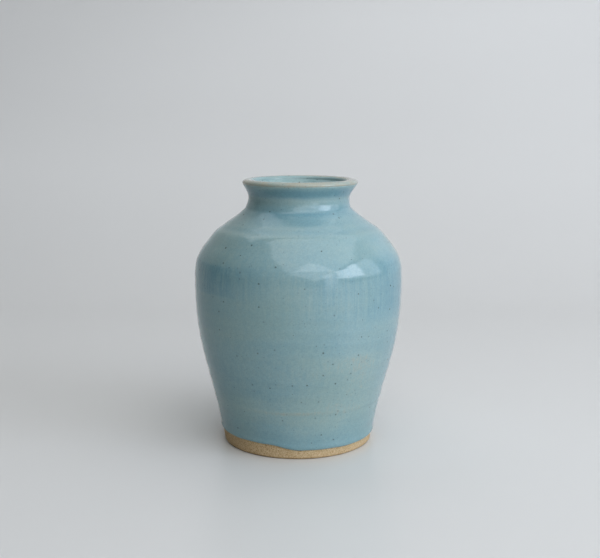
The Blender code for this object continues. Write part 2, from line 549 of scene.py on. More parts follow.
@dataclass(frozen=True)
class ThrowersHand:
    """What the thrower's hands left: a finger spiral, rings, an uneven wall and a slight lean.

    Attributes:
        spiral_mm: How far the finger spiral climbs in one turn.
        spiral_depth_mm: Depth of its soft hollows.
        sway: How unsteadily it climbs, in turns.
        grip: How firmly the fingers pressed.
        rubbed: How far the spiral is rubbed away, by that grip.
        unevenness: How the wall bulges and ripples, in millimetres.
        inner_spiral_mm: How far the spiral inside climbs in one turn.
        inner_depth_mm: Depth of its hollows, which nobody smoothed.
        inner_start: How it starts over the floor, by height in millimetres.
        inner_end: How it ends in the neck.
        lip_sponged: How the marks outside fade under the sponged lip.
        foot_lean: How far the foot sits to the right of the axis, in millimetres, by height.
        lip_lean: How far the lip does.
        ridges: The single rings that can be seen.
    """

    spiral_mm: float = 5.2
    spiral_depth_mm: float = 0.045
    sway: Cloud = Cloud(0.25, 1.3, 14.0, 1)
    grip: Cloud = Cloud(1.0, 1.0, 19.0, 2)
    rubbed: Fade = Fade(-0.3, 0.5, 0.6)
    unevenness: tuple[Cloud, ...] = (Cloud(0.10, 1.9, 24.0, 3), Cloud(0.025, 8.0, 4.0, 4))
    inner_spiral_mm: float = 7.28
    inner_depth_mm: float = 0.14
    inner_start: Fade = Fade(20.0, 12.0)
    inner_end: Fade = Fade(94.0, 102.0)
    lip_sponged: Fade = Fade(99.0, 104.0)
    foot_lean: Fade = Fade(0.0, 45.0, -0.35)
    lip_lean: Fade = Fade(107.0, 96.0, 0.75)
    ridges: tuple[Ridge, ...] = (
        Ridge(87.9, 0.8, 0.13),  # the shoulder was collared in here, which raised a ridge
        Ridge(89.4, 0.8, -0.14),  # and left a groove above it
        Ridge(91.2, 0.9, 0.07, 0.4, 120.0),
        Ridge(92.5, 1.5, 0.10, 0.2, 120.0),
        Ridge(96.4, 0.7, -0.15, 0.1, 90.0),
        Ridge(96.6, 1.2, -0.16, 0.1, 90.0),  # the neck breaks sharply into the shoulder
        Ridge(19.6, 0.8, 0.09, 0.5, -40.0),
        Ridge(76.2, 0.7, 0.05, 0.4, 10.0),
    )

    def lean(self, z_mm: float) -> float:
        """How far the wall has moved to the right at a height, in millimetres."""
        return self.foot_lean.at(z_mm) + self.lip_lean.at(z_mm)

    def outside(self, spot: Spot) -> float:
        """How far the outside stands out from its plain section.

        Args:
            spot: Where on the vase.

        Returns:
            The distance in millimetres.
        """
        turns = spot.z_mm / self.spiral_mm + spot.bearing / 360.0 + self.sway.at(spot)
        strength = 1 - self.rubbed.at(self.grip.at(spot))
        relief = self.spiral_depth_mm * strength * math.sin(2 * math.pi * turns)
        relief += sum(mark.at(spot) for mark in (*self.ridges, *self.unevenness))
        return relief * self.lip_sponged.at(spot.z_mm)

    def inside(self, spot: Spot) -> float:
        """How far the inside stands out from its plain section.

        Args:
            spot: Where on the vase.

        Returns:
            The distance in millimetres.
        """
        turns = spot.z_mm / self.inner_spiral_mm - spot.bearing / 360.0
        shown = self.inner_start.at(spot.z_mm) * self.inner_end.at(spot.z_mm)
        return self.inner_depth_mm * shown * math.sin(2 * math.pi * turns)

    def placed(self, spot: Spot) -> Vector:
        """Where a spot of the straight wall lies on the leaning one, in metres."""
        place = towards(spot.bearing) * spot.radius_mm * MM
        return Vector((place.x + self.lean(spot.z_mm) * MM, place.y, spot.z_mm * MM))


# -------------------------------------------------------------------------------- the finishes


@dataclass(frozen=True)
class Patch:
    """A place where the glaze lies thicker or thinner than the even coat, or where a painted reflection is
    laid on as such a change.

    Attributes:
        low_mm: Height where it starts.
        high_mm: Height where it ends.
        soft_mm: How far its upper and lower edges fade.
        bearing: Its middle, round the vase.
        reach: How many degrees it spreads to each side. 360 goes all round.
        amount: How much thicker it lies, or thinner where negative.
        streak: How strongly it ran in streaks there.
        wander_mm: How far its edges wander up and down.
    """

    low_mm: float
    high_mm: float
    soft_mm: float
    bearing: float
    reach: float
    amount: float
    streak: float = 0.0
    wander_mm: float = 1.0

    def cover(self, spot: Spot, wander: float) -> float:
        """How far a spot lies in this patch.

        Args:
            spot: Where on the vase.
            wander: A noise that moves the patch's edges, from about -1 to 1.

        Returns:
            The cover, from 0 to 1.
        """
        z_mm = spot.z_mm + self.wander_mm * wander
        tall = eased(z_mm, self.low_mm - self.soft_mm, self.low_mm + self.soft_mm)
        tall *= 1 - eased(z_mm, self.high_mm - self.soft_mm, self.high_mm + self.soft_mm)
        if tall == 0.0 or self.reach >= ALL_ROUND:
            return tall
        return tall * hump(turn(spot.bearing, self.bearing), self.reach)


@dataclass(frozen=True)
class Wave:
    """A wave in the glaze's lower edge.

    Attributes:
        height_mm: How far it rises and falls.
        count: How many of it go round the foot.
        phase: How far it is turned, in radians.
    """

    height_mm: float
    count: int
    phase: float = 0.0

    def at(self, bearing: float) -> float:
        """How far the wave lifts the edge at a bearing, in millimetres."""
        return self.height_mm * math.sin(self.count * math.radians(bearing) + self.phase)


@dataclass(frozen=True)
class Cluster:
    """A place where specks gather.

    Attributes:
        bearing: Its middle, round the vase.
        reach: How many degrees it spreads to each side.
        z_mm: Height of its middle.
        tall_mm: How far it spreads up and down.
        amount: How many more specks it holds.
    """

    bearing: float
    reach: float
    z_mm: float
    tall_mm: float
    amount: float

    def at(self, spot: Spot) -> float:
        """How many more specks a spot holds for this cluster."""
        level = self.amount * hump(spot.z_mm - self.z_mm, self.tall_mm)
        return level * hump(turn(spot.bearing, self.bearing), self.reach)


@dataclass(frozen=True)
class GlazeFlow:
    """How the outer glaze lay after its dips, and how it ran in the kiln, with a painted reflection laid on
    in front of the neck.

    Attributes:
        line_mm: Height of its lower edge over most of the foot.
        step_mm: How much higher that edge stands on the front left.
        step_start: How it steps up, by the bearing to the left.
        step_end: How it comes down again, further round.
        waves: The small waves in it.
        even: Thickness of the even coat, on the scale of Coat.BUILD.
        drifts: How that thickness drifts, in low bands and in wider clouds.
        wander: How the patches' edges wander.
        rolled: How much thicker it is over its lower edge, by the distance above the edge in millimetres.
        edge: How much thinner it is at the edge itself.
        lip: How much of it is missing where it runs out under the lip, by height in millimetres.
        run: How strongly it ran in streaks everywhere.
        sown: How thickly specks are sown everywhere, from 0 to 1.
        sown_drift: How that drifts.
        sown_low: Where more of them are sown low on the right. Its amount is how many more.
        sown_corner: Where they gather at the upper corner of the belt.
        liner_even: Thickness of the liner inside.
        liner_crest: How much thinner it is over the lip's crest.
        liner_drift: How its thickness drifts.
        liner_out: Where the lip's crest starts, by the radius in millimetres.
        liner_up: Where it starts, by height in millimetres.
        liner_sown: How thickly specks are sown in the liner.
        patches: Where it lies thicker or thinner, and one painted reflection in front of the neck, laid on
            as thicker glaze.
    """

    line_mm: float = 3.5
    step_mm: float = 2.2
    step_start: Fade = Fade(22.0, -4.0)
    step_end: Fade = Fade(60.0, 165.0)
    waves: tuple[Wave, ...] = (Wave(0.12, 3, 0.6), Wave(0.07, 7), Wave(0.05, 17))
    even: float = 0.48
    drifts: tuple[Cloud, ...] = (
        Cloud(0.06, 1.1, 6.0, 11),
        Cloud(0.04, 1.4, 2.0, 12),
        Cloud(0.06, 2.4, 28.0, 13),
    )
    wander: Cloud = Cloud(1.0, 2.2, 15.0, 30)
    rolled: Fade = Fade(3.0, 12.0, 0.10)
    edge: Fade = Fade(0.0, 0.6, 0.25)
    lip: Fade = Fade(106.3, 105.5, 0.55)
    run: float = 0.12
    sown: float = 0.36
    sown_drift: Cloud = Cloud(0.3, 1.6, 18.0, 21)
    sown_low: Patch = Patch(-20.0, 55.5, 10.5, 32.0, 34.0, 0.4)
    sown_corner: Cluster = Cluster(-58.0, 14.0, 78.0, 4.0, 0.5)
    liner_even: float = 0.34
    liner_crest: float = 0.24
    liner_drift: Cloud = Cloud(0.10, 5.0, 2.0, 41)
    liner_out: Fade = Fade(20.4, 19.2)
    liner_up: Fade = Fade(104.0, 100.0)
    liner_sown: float = 0.75
    patches: tuple[Patch, ...] = (
        Patch(65.3, 76.8, 0.8, -54.0, 24.0, 0.17, 1.0),  # the two dips overlap in a belt on the left
        Patch(57.5, 79.0, 3.0, 68.0, 42.0, 0.17, 0.4, 2.5),  # and lower down on the right
        Patch(57.0, 76.0, 5.0, 8.0, 34.0, -0.02, 0.6, 2.0),
        Patch(14.0, 42.0, 4.0, 30.0, 36.0, -0.17, 0.2, 4.0),  # rubbed thin low on the right
        Patch(48.0, 54.0, 2.5, 50.0, 34.0, -0.08, 0.1, 3.0),
        Patch(15.0, 24.0, 4.0, -26.0, 16.0, -0.10, 0.0, 3.0),
        Patch(19.0, 20.6, 0.6, -12.0, 26.0, -0.14, 0.0, 0.3),  # thin over the low ridge
        Patch(78.0, 96.0, 4.0, -20.0, 70.0, -0.05, 0.0, 3.0),  # a little thin over the shoulder
        Patch(87.2, 88.6, 0.6, 0.0, ALL_ROUND, -0.06, 0.0, 0.3),
        Patch(88.9, 90.3, 0.6, 0.0, ALL_ROUND, 0.09, 0.0, 0.3),  # pooled in the collar's groove
        Patch(99.0, 101.2, 0.8, -6.0, 50.0, -0.12, 0.0, 0.5),  # thin round the neck's waist
        Patch(101.8, 104.8, 0.8, 0.0, ALL_ROUND, 0.30, 0.0, 0.4),  # pooled under the lip
        Patch(94.5, 98.0, 1.2, 20.0, 80.0, 0.14, 0.0, 0.5),
        Patch(91.6, 96.2, 0.6, 0.0, 38.0, 0.16, 0.0, 0.3),  # painted reflection: the lip's dark reflection in front of the neck, laid on as thicker, darker glaze
        Patch(25.0, 46.0, 6.0, -44.0, 38.0, 0.10, 0.2, 4.0),
        Patch(34.0, 46.0, 3.0, 12.0, 26.0, -0.10, 0.2, 4.0),
        Patch(77.5, 90.0, 2.5, -52.0, 34.0, -0.06, 0.3, 2.5),
    )

    def line(self, bearing: float) -> float:
        """Where the glaze's lower edge is.

        Args:
            bearing: Where round the vase.

        Returns:
            Its height in millimetres.
        """
        left = -turn(bearing, 0.0)
        step = self.step_mm * self.step_start.at(left) * self.step_end.at(left)
        return self.line_mm + step + sum(wave.at(bearing) for wave in self.waves)

    def build(self, spot: Spot) -> float:
        """How thick the outer glaze lies, with the painted reflection in front of the neck counted as
        thickness.

        Args:
            spot: Where on the vase.

        Returns:
            The thickness on the scale of Coat.BUILD.
        """
        wander = self.wander.at(spot)
        build = self.even + sum(drift.at(spot) for drift in self.drifts)
        build += sum(patch.amount * patch.cover(spot, wander) for patch in self.patches)
        above = spot.z_mm - self.line(spot.bearing)
        build += self.rolled.at(above) - self.edge.at(above)
        return min(max(build * (1 - self.lip.at(spot.z_mm)), 0.0), 1.0)

    def streak(self, spot: Spot) -> float:
        """How strongly the glaze ran in streaks at a spot, from 0 to 1."""
        wander = self.wander.at(spot)
        return min(self.run + sum(patch.streak * patch.cover(spot, wander) for patch in self.patches), 1.0)

    def specks(self, spot: Spot) -> float:
        """How thickly specks are sown.

        Args:
            spot: Where on the vase.

        Returns:
            The share of the places for a speck that hold one, from 0 to 1.
        """
        sown = self.sown + self.sown_drift.at(spot) + self.sown_corner.at(spot)
        sown += self.sown_low.amount * self.sown_low.cover(spot, 0.0)
        return min(max(sown, 0.0), 1.0)

    def liner_build(self, spot: Spot) -> float:
        """How thick the liner lies: thin over the lip's crest, and even down inside."""
        crest = self.liner_out.at(spot.radius_mm) * self.liner_up.at(spot.z_mm)
        return self.liner_even - self.liner_crest * crest + self.liner_drift.at(spot)

    def liner_streak(self, spot: Spot) -> float:
        """How strongly the liner ran in streaks at a spot: not at all."""
        return 0.0

    def liner_specks(self, spot: Spot) -> float:
        """How thickly specks are sown in the liner at a spot, which is evenly."""
        return self.liner_sown


@dataclass(frozen=True)
class Finish:
    """A surface's finish, which is turned into a material."""

    def material(self, name: str) -> bpy.types.Material:
        """Builds the finish's material.

        Args:
            name: The material's name.

        Returns:
            The new material.
        """
        made = bpy.data.materials.new(name)
        made.use_nodes = True
        self._dress(made.node_tree, made.node_tree.nodes["Principled BSDF"])
        return made

    def _dress(self, tree: bpy.types.NodeTree, shader: bpy.types.Node) -> None:
        """Sets the shader's sockets and adds the nodes that feed them, as each finish does."""
        raise NotImplementedError

    def _coloured(
        self, tree: bpy.types.NodeTree, level: bpy.types.NodeSocket, stops: tuple[tuple[float, str], ...]
    ) -> bpy.types.NodeSocket:
        """Colours the finish by a level that varies over it.

        Args:
            tree: The material's nodes.
            level: The level, from 0 to 1.
            stops: Levels and their sRGB hex colours, in rising order.

        Returns:
            The colour's socket.
        """
        colours = add(tree, "ValToRGB", {}, {"Fac": level})
        elements = colours.color_ramp.elements
        for _ in stops[2:]:
            elements.new(1.0)
        for element, (position, code) in zip(elements, stops):
            element.position = position
            element.color = linear(code)
        return colours.outputs["Color"]


@dataclass(frozen=True)
class SpeckSize:
    """One size of iron speck.

    Attributes:
        spacing_mm: How far apart specks of this size lie where they are sown thickest.
        radius_mm: Radius of the largest of them.
        depth: How dark the middle of a speck is, from 0 to 1.
    """

    spacing_mm: float
    radius_mm: float
    depth: float


@dataclass(frozen=True)
class CeladonGlaze(Finish):
    """Celadon: a clear gloss stoneware glaze, blue-green from a little reduced iron.

    Over buff clay it looks pale and warm where it ran thin and blue where it pooled, and iron
    specks that bled out of the clay freckle it.

    Attributes:
        bare: Colour where the coat is so thin that the clay shows through.
        thin: Colour on ridges and thin places.
        even: Colour of the even coat.
        deep: Colour where it lies thick.
        pooled: Colour of the deepest pools.
        moss: Colour that the coat drifts towards, where the kiln left more green in it.
        moss_mm: Size of the mossy drifts.
        moss_most: How far the colour goes towards moss.
        speck: Colour of an iron speck.
        specks: The sizes of speck.
        ragged_mm: Size of the notches in a speck's edge.
        mottles: Sizes of the mottle in its thickness, in millimetres, and how deep each goes.
        run_wide_mm: Width of a streak.
        run_tall_mm: Length of a streak.
        run_depth: How much thicker or thinner a streak lies.
        grain_mm: Size of the fine grain in its colour, drawn a little coarse so that it shows.
        grain: How much the grain darkens and lightens it.
        dimple_mm: Spacing of the soft dimples that boiling left in its skin.
        dimple_depth_mm: Their depth.
        gloss: Roughness of the fired glass, which blurs a reflection only a little.
        bending: Its IOR.
    """

    bare: str = "#ABA797"
    thin: str = "#94ABAA"
    even: str = "#86A4A9"
    deep: str = "#769AA4"
    pooled: str = "#668D99"
    moss: str = "#8BA198"
    moss_mm: float = 30.0
    moss_most: float = 0.26
    speck: str = "#2E3A32"
    specks: tuple[SpeckSize, ...] = (SpeckSize(2.2, 0.40, 0.8), SpeckSize(1.1, 0.2, 0.5))
    ragged_mm: float = 0.5
    mottles: tuple[tuple[float, float], ...] = ((1.6, 0.22), (0.45, 0.16))
    run_wide_mm: float = 1.1
    run_tall_mm: float = 22.0
    run_depth: float = 0.9
    grain_mm: float = 0.55
    grain: tuple[float, float] = (0.94, 1.06)
    dimple_mm: float = 2.6
    dimple_depth_mm: float = 0.04
    gloss: float = 0.10
    bending: float = 1.52

    def _dress(self, tree: bpy.types.NodeTree, shader: bpy.types.Node) -> None:
        """Colours the glaze by its thickness, with moss, specks and grain over that, and dimples it.

        Args:
            tree: The material's nodes.
            shader: The node whose sockets take the result.
        """
        place = add(tree, "TexCoord", {}, {}).outputs["Object"]
        stops = (
            (0.04, self.bare),
            (0.28, self.thin),
            (0.52, self.even),
            (0.76, self.deep),
            (1.0, self.pooled),
        )
        colour = self._coloured(tree, self._thickness(tree, place), stops)
        colour = self._mossed(tree, place, colour)
        for size in self.specks:
            colour = self._specked(tree, place, colour, size)
        fine = 1 / (self.grain_mm * MM)
        grains = add(tree, "TexNoise", {}, {"Vector": place, "Scale": fine, "Detail": 2.0})
        spread = {"From Min": 0.3, "From Max": 0.7, "To Min": self.grain[0], "To Max": self.grain[1]}
        shade = add(tree, "MapRange", {}, {"Value": grains.outputs["Fac"], **spread})
        toned = add(tree, "VectorMath", {"operation": "SCALE"}, {0: colour, "Scale": shade.outputs[0]})
        tree.links.new(toned.outputs[0], shader.inputs["Base Color"])
        shader.inputs["Roughness"].default_value = self.gloss
        shader.inputs["IOR"].default_value = self.bending
        soft = 1 / (self.dimple_mm * MM)
        dimples = add(tree, "TexNoise", {}, {"Vector": place, "Scale": soft, "Detail": 2.0})
        relief = {"Strength": 0.15, "Distance": self.dimple_depth_mm * MM}
        skin = add(tree, "Bump", {}, {"Height": dimples.outputs["Fac"], **relief})
        tree.links.new(skin.outputs["Normal"], shader.inputs["Normal"])

    def _thickness(self, tree: bpy.types.NodeTree, place: bpy.types.NodeSocket) -> bpy.types.NodeSocket:
        """Reads the glaze's thickness and adds its fine mottle and streaks.

        Args:
            tree: The material's nodes.
            place: Where on the vase a point is.

        Returns:
            A level on the scale of Coat.BUILD.
        """
        level = add(tree, "Attribute", {"attribute_name": Coat.BUILD.value}, {}).outputs["Fac"]
        for size_mm, amount in self.mottles:
            mottle = add(tree, "TexNoise", {}, {"Vector": place, "Scale": 1 / (size_mm * MM), "Detail": 3.0})
            centred = add(tree, "Math", {"operation": "SUBTRACT"}, {0: mottle.outputs["Fac"], 1: 0.5})
            terms = {0: centred.outputs[0], 1: amount, 2: level}
            level = add(tree, "Math", {"operation": "MULTIPLY_ADD"}, terms).outputs[0]
        wide, tall = 1 / (self.run_wide_mm * MM), 1 / (self.run_tall_mm * MM)
        runs = add(tree, "Mapping", {}, {"Vector": place, "Scale": (wide, wide, tall)})
        threads = {"Vector": runs.outputs[0], "Scale": 1.0, "Detail": 4.0, "Roughness": 0.65}
        streaks = add(tree, "TexNoise", {}, threads)
        centred = add(tree, "Math", {"operation": "SUBTRACT"}, {0: streaks.outputs["Fac"], 1: 0.5})
        ran = add(tree, "Attribute", {"attribute_name": Coat.STREAK.value}, {}).outputs["Fac"]
        strength = add(tree, "Math", {"operation": "MULTIPLY"}, {0: ran, 1: centred.outputs[0]})
        terms = {0: strength.outputs[0], 1: self.run_depth, 2: level}
        return add(tree, "Math", {"operation": "MULTIPLY_ADD"}, terms).outputs[0]

    def _mossed(
        self, tree: bpy.types.NodeTree, place: bpy.types.NodeSocket, colour: bpy.types.NodeSocket
    ) -> bpy.types.NodeSocket:
        """Lets a colour drift towards moss.

        Args:
            tree: The material's nodes.
            place: Where on the vase a point is.
            colour: The colour before it drifts.

        Returns:
            The colour with its mossy places.
        """
        drift = add(tree, "TexNoise", {}, {"Vector": place, "Scale": 1 / (self.moss_mm * MM), "Detail": 1.0})
        spread = {"From Min": 0.45, "From Max": 0.70, "To Max": self.moss_most}
        mossy = add(tree, "MapRange", {}, {"Value": drift.outputs["Fac"], **spread})
        blend = {0: mossy.outputs[0], COLOUR_A: colour, COLOUR_B: linear(self.moss)}
        return add(tree, "Mix", {"data_type": "RGBA"}, blend).outputs[COLOUR_OUT]

    def _specked(
        self,
        tree: bpy.types.NodeTree,
        place: bpy.types.NodeSocket,
        colour: bpy.types.NodeSocket,
        size: SpeckSize,
    ) -> bpy.types.NodeSocket:
        """Lays iron specks of one size over a colour.

        Args:
            tree: The material's nodes.
            place: Where on the vase a point is.
            colour: The colour under the specks.
            size: The size of speck.

        Returns:
            The colour with its specks.
        """
        fine, coarse = 1 / (self.ragged_mm * MM), 1 / (size.spacing_mm * MM)
        ragged = add(tree, "TexNoise", {}, {"Vector": place, "Scale": fine, "Detail": 1.0})
        notch = (0.5 * size.radius_mm * MM,) * 3
        terms = {0: ragged.outputs["Color"], 1: notch, 2: place}
        offset = add(tree, "VectorMath", {"operation": "MULTIPLY_ADD"}, terms)
        cells = add(tree, "TexVoronoi", {}, {"Vector": offset.outputs[0], "Scale": coarse})
        chance = add(tree, "SeparateColor", {}, {0: cells.outputs["Color"]})
        sown = add(tree, "Attribute", {"attribute_name": Coat.SPECKS.value}, {}).outputs["Fac"]
        kept = add(tree, "Math", {"operation": "LESS_THAN"}, {0: chance.outputs[0], 1: sown})
        skewed = add(tree, "Math", {"operation": "POWER"}, {0: chance.outputs[1], 1: 2.0})
        largest = size.radius_mm / size.spacing_mm
        terms = {0: skewed.outputs[0], 1: 0.7 * largest, 2: 0.3 * largest}
        radius = add(tree, "Math", {"operation": "MULTIPLY_ADD"}, terms)
        away = {0: cells.outputs["Distance"], 1: radius.outputs[0]}
        ratio = add(tree, "Math", {"operation": "DIVIDE"}, away).outputs[0]
        soft = {"Value": ratio, "From Min": 1.5, "From Max": 0.5, "To Min": 0.0, "To Max": size.depth}
        dot = add(tree, "MapRange", {"interpolation_type": "SMOOTHSTEP"}, soft)
        dark = add(tree, "MapRange", {}, {"Value": chance.outputs[2], "To Min": 0.30, "To Max": 1.0})
        cover = add(tree, "Math", {"operation": "MULTIPLY"}, {0: dot.outputs[0], 1: kept.outputs[0]})
        cover = add(tree, "Math", {"operation": "MULTIPLY"}, {0: cover.outputs[0], 1: dark.outputs[0]})
        blend = {0: cover.outputs[0], COLOUR_A: colour, COLOUR_B: linear(self.speck)}
        return add(tree, "Mix", {"data_type": "RGBA"}, blend).outputs[COLOUR_OUT]


@dataclass(frozen=True)
class BareStoneware(Finish):
    """Buff stoneware: fired clay with fine sand in it, sponged and left bare at the foot.

    It is matt and warm and grainy, darker where the kiln shelf and hands marked it, and darker again in a
    painted contact shade along the foot's edge.

    Attributes:
        clay: Colour of the fired clay.
        pale: Colour of its pale grains.
        dark: Colour of its iron grains, of soiled clay, and of the painted contact shade along the foot's
            edge.
        grit_mm: Size of a sand grain, drawn a little coarse so that it shows.
        grit_depth_mm: How far a grain stands out.
        blotch_mm: Size of the blotches in which it is soiled.
        matt: Its roughness.
    """

    clay: str = "#C7AE88"
    pale: str = "#DAC9A9"
    dark: str = "#967C56"
    grit_mm: float = 0.40
    grit_depth_mm: float = 0.12
    blotch_mm: float = 5.0
    matt: float = 0.88

    def _dress(self, tree: bpy.types.NodeTree, shader: bpy.types.Node) -> None:
        """Colours the clay by its grains, darkens it in blotches by soil and by painted contact shade, and
        roughens it.

        Args:
            tree: The material's nodes.
            shader: The node whose sockets take the result.
        """
        place = add(tree, "TexCoord", {}, {}).outputs["Object"]
        fine, coarse = 1 / (self.grit_mm * MM), 1 / (self.blotch_mm * MM)
        grains = add(tree, "TexNoise", {}, {"Vector": place, "Scale": fine, "Detail": 3.0})
        stops = ((0.28, self.dark), (0.47, self.clay), (0.72, self.pale))
        colour = self._coloured(tree, grains.outputs["Fac"], stops)
        blotches = add(tree, "TexNoise", {}, {"Vector": place, "Scale": coarse, "Detail": 3.0})
        clay_darkening = add(tree, "Attribute", {"attribute_name": Coat.SOIL_AND_SHADE.value}, {}).outputs["Fac"]
        amount = add(tree, "Math", {"operation": "MULTIPLY"}, {0: clay_darkening, 1: blotches.outputs["Fac"]})
        blend = {0: amount.outputs[0], COLOUR_A: colour, COLOUR_B: linear(self.dark)}
        soiled = add(tree, "Mix", {"data_type": "RGBA"}, blend)
        tree.links.new(soiled.outputs[COLOUR_OUT], shader.inputs["Base Color"])
        shader.inputs["Roughness"].default_value = self.matt
        relief = {"Strength": 0.5, "Distance": self.grit_depth_mm * MM}
        grit = add(tree, "Bump", {}, {"Height": grains.outputs["Fac"], **relief})
        tree.links.new(grit.outputs["Normal"], shader.inputs["Normal"])


@dataclass(frozen=True)
class WhiteCard(Finish):
    """Rolled white card, as a studio's sweep is: plain and pale, with a soft sheen at a low angle.

    Attributes:
        tint: Its colour.
        sheen: Its roughness.
    """

    tint: str = "#D6D5D2"
    sheen: float = 0.34

    def _dress(self, tree: bpy.types.NodeTree, shader: bpy.types.Node) -> None:
        """Colours the card evenly."""
        shader.inputs["Base Color"].default_value = linear(self.tint)
        shader.inputs["Roughness"].default_value = self.sheen


# ---------------------------------------------------------------------------------- the pieces


@dataclass
class Layer:
    """One fired layer of the vase.

    Attributes:
        wall: The section that all the layers share.
        hand: What the thrower's hands left in it.
        flow: How the glaze lies.
        steps: How many steps the layer is turned in.
        ring: Distance between its rings where they show.
        hidden_ring: Distance between its rings where another layer covers them.
        lap: Height on the outside where the liner's edge meets the outer glaze.
    """

    wall: ThrownWall
    hand: ThrowersHand
    flow: GlazeFlow
    steps: int = 300
    ring: float = 0.5 * MM
    hidden_ring: float = 1.5 * MM
    lap: float = 106.3 * MM

    def placed(self, obj: bpy.types.Object, node: str, slot: str) -> bpy.types.Object:
        """Puts a finished layer in the frame, in place of its CAD node.

        Args:
            obj: The layer's object.
            node: The name of the CAD node.
            slot: Not used.

        Returns:
            The same object.
        """
        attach(obj, ROOT)
        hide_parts(node)
        log.info("%s: %d faces, in place of %s", obj.name, len(obj.data.polygons), node)
        return obj


@dataclass
class StonewareBody(Layer):
    """The clay body, which shows only at its bare foot and underneath.

    Attributes:
        foot_round: Radius of the foot's worn outer edge.
        ring_width: Width of the ring that it stands on.
        recess: Depth of the turned recess inside the ring.
        recess_slope: Width of the slope up into the recess.
        bare_band: How far up over the foot's edge the clay is made fine.
        bare_ring: Distance between the rings of that band.
        worked_mm: Height up to which turning and sponging left marks.
        worked_in_mm: How far in under the foot they reach.
        turning_mm: Spacing of the turning rings on the foot's side.
        turning_depth_mm: Their depth.
        turning_sway: How unevenly they run, in radians.
        sponged: How the sponge left the clay uneven, in millimetres.
        foot_sponged: How these marks fade towards the table, by height in millimetres.
        base_depth_mm: Depth of the turning spiral underneath.
        contact_shade_edge: Painted contact shade: how far the foot's outer edge is darkened where it meets
            the table, by height in millimetres.
        soiled_under: How far the ring that it stands on is.
        soiled_line: How far the clay along the glaze's edge is, by the distance from that edge.
        soiled_all: How far all the clay is.
    """

    foot_round: float = 0.8 * MM
    ring_width: float = 8.0 * MM
    recess: float = 1.2 * MM
    recess_slope: float = 1.8 * MM
    bare_band: float = 8.0 * MM
    bare_ring: float = 0.35 * MM
    worked_mm: float = 12.0
    worked_in_mm: float = 1.2
    turning_mm: float = 0.9
    turning_depth_mm: float = 0.03
    turning_sway: Cloud = Cloud(2.0, 2.0, 8.0, 52)
    sponged: tuple[Cloud, ...] = (Cloud(0.035, 30.0, 0.9, 51), Cloud(0.12, 2.5, 6.0, 53))
    foot_sponged: Fade = Fade(0.6, 0.0)
    base_depth_mm: float = 0.05
    # painted contact shade along the foot's outer edge, where it meets the table
    contact_shade_edge: Fade = Fade(0.1, 1.0, 1.7)
    soiled_under: Fade = Fade(0.0, 0.9, 0.5)
    soiled_line: Fade = Fade(0.0, 0.6, 0.45)
    soiled_all: float = 0.25

    def build(self) -> bpy.types.Object:
        """Turns the body, roughens its bare clay, and dresses it.

        Returns:
            The body's object.
        """
        mesh = turned(self._section(), self.steps)
        for vertex in mesh.verts:
            vertex.co = self.hand.placed(self._weathered(Spot.at(vertex.co)))
        obj = finished("clay_body", mesh, {Coat.SOIL_AND_SHADE: self._soil_and_contact_shade})
        obj.data.materials.append(BareStoneware().material("buff_stoneware_sponged"))
        return self.placed(obj, "stoneware_body", "clay")

    def _section(self) -> list[Vector]:
        """Draws the clay's section.

        Returns:
            Its points, from the middle of the floor, over the lip and down to the middle underneath.
        """
        depth = self.wall.glaze
        inside = shifted(self.wall.inside(), -depth)
        inside[-1] = Vector((0.0, 0.0, self.wall.floor - depth))
        inside = [p for p in inside if p.x >= 0]
        covered = [*reversed(inside), *reversed(shifted(self.wall.lip_edge(), -depth))]
        outside = shifted(self.wall.outside(), -depth)
        bare_top = outside[0].z + self.bare_band
        hidden = between(outside, bare_top, outside[-1].z)
        bare = between(outside, outside[0].z, bare_top)
        return [
            *respaced([*covered, *reversed(hidden)], self.hidden_ring),
            *respaced([*reversed(bare)], self.bare_ring)[1:],
            *self._underside(outside[0]),
        ]

    def _underside(self, edge: Vector) -> list[Vector]:
        """Draws the foot's rounded edge, the ring that it stands on and the recess.

        Args:
            edge: Where the wall's outside ends.

        Returns:
            The points from there to the middle underneath.
        """
        centre = Vector((edge.x - self.foot_round, 0.0, self.foot_round))
        turns = [math.pi / 2 * i / 8 for i in range(1, 9)]
        rounded = [centre + Vector((math.cos(a), 0.0, -math.sin(a))) * self.foot_round for a in turns]
        inner = Vector((edge.x - self.ring_width, 0.0, 0.0))
        shares = [i / 8 for i in range(9)]
        slope = [
            inner + Vector((-self.recess_slope * a, 0.0, self.recess * eased(a, 0.0, 1.0))) for a in shares
        ]
        ring = respaced([rounded[-1], slope[0]], 0.8 * MM)
        recess = respaced([slope[-1], Vector((0.0, 0.0, self.recess))], 0.6 * MM)
        return [*rounded, *ring[1:-1], *slope, *recess[1:]]

    @cached_property
    def _outline_mm(self) -> list[tuple[float, float]]:
        """The height and the radius of each point of the glazed outside."""
        return [(point.z / MM, point.x / MM) for point in self.wall.outside()]

    def _weathered(self, spot: Spot) -> Spot:
        """Marks a spot of the plain section as turning and sponging did.

        Args:
            spot: Where on the plain body.

        Returns:
            Where it ended up.
        """
        foot_mm = self.wall.foot / MM
        recess_mm = foot_mm - (self.ring_width + self.recess_slope) / MM
        if spot.z_mm < self.worked_mm and spot.radius_mm > foot_mm - self.worked_in_mm:
            turns = 2 * math.pi * spot.z_mm / self.turning_mm + self.turning_sway.at(spot)
            rough = self.turning_depth_mm * math.sin(turns) + sum(mark.at(spot) for mark in self.sponged)
            return spot.moved(rough * self.foot_sponged.at(spot.z_mm))
        if spot.z_mm < 2 * self.recess / MM and spot.radius_mm < recess_mm:
            spiral = self.base_depth_mm * math.sin(math.pi * spot.radius_mm + math.radians(spot.bearing))
            return spot.moved(0.0, spiral * eased(spot.radius_mm, 0.0, 2.0))
        at = min(bisect_left(self._outline_mm, (spot.z_mm,)), len(self._outline_mm) - 1)
        if spot.radius_mm > self._outline_mm[at][1] - self.wall.wall / MM / 2:
            return spot.moved(self.hand.outside(spot))
        return spot

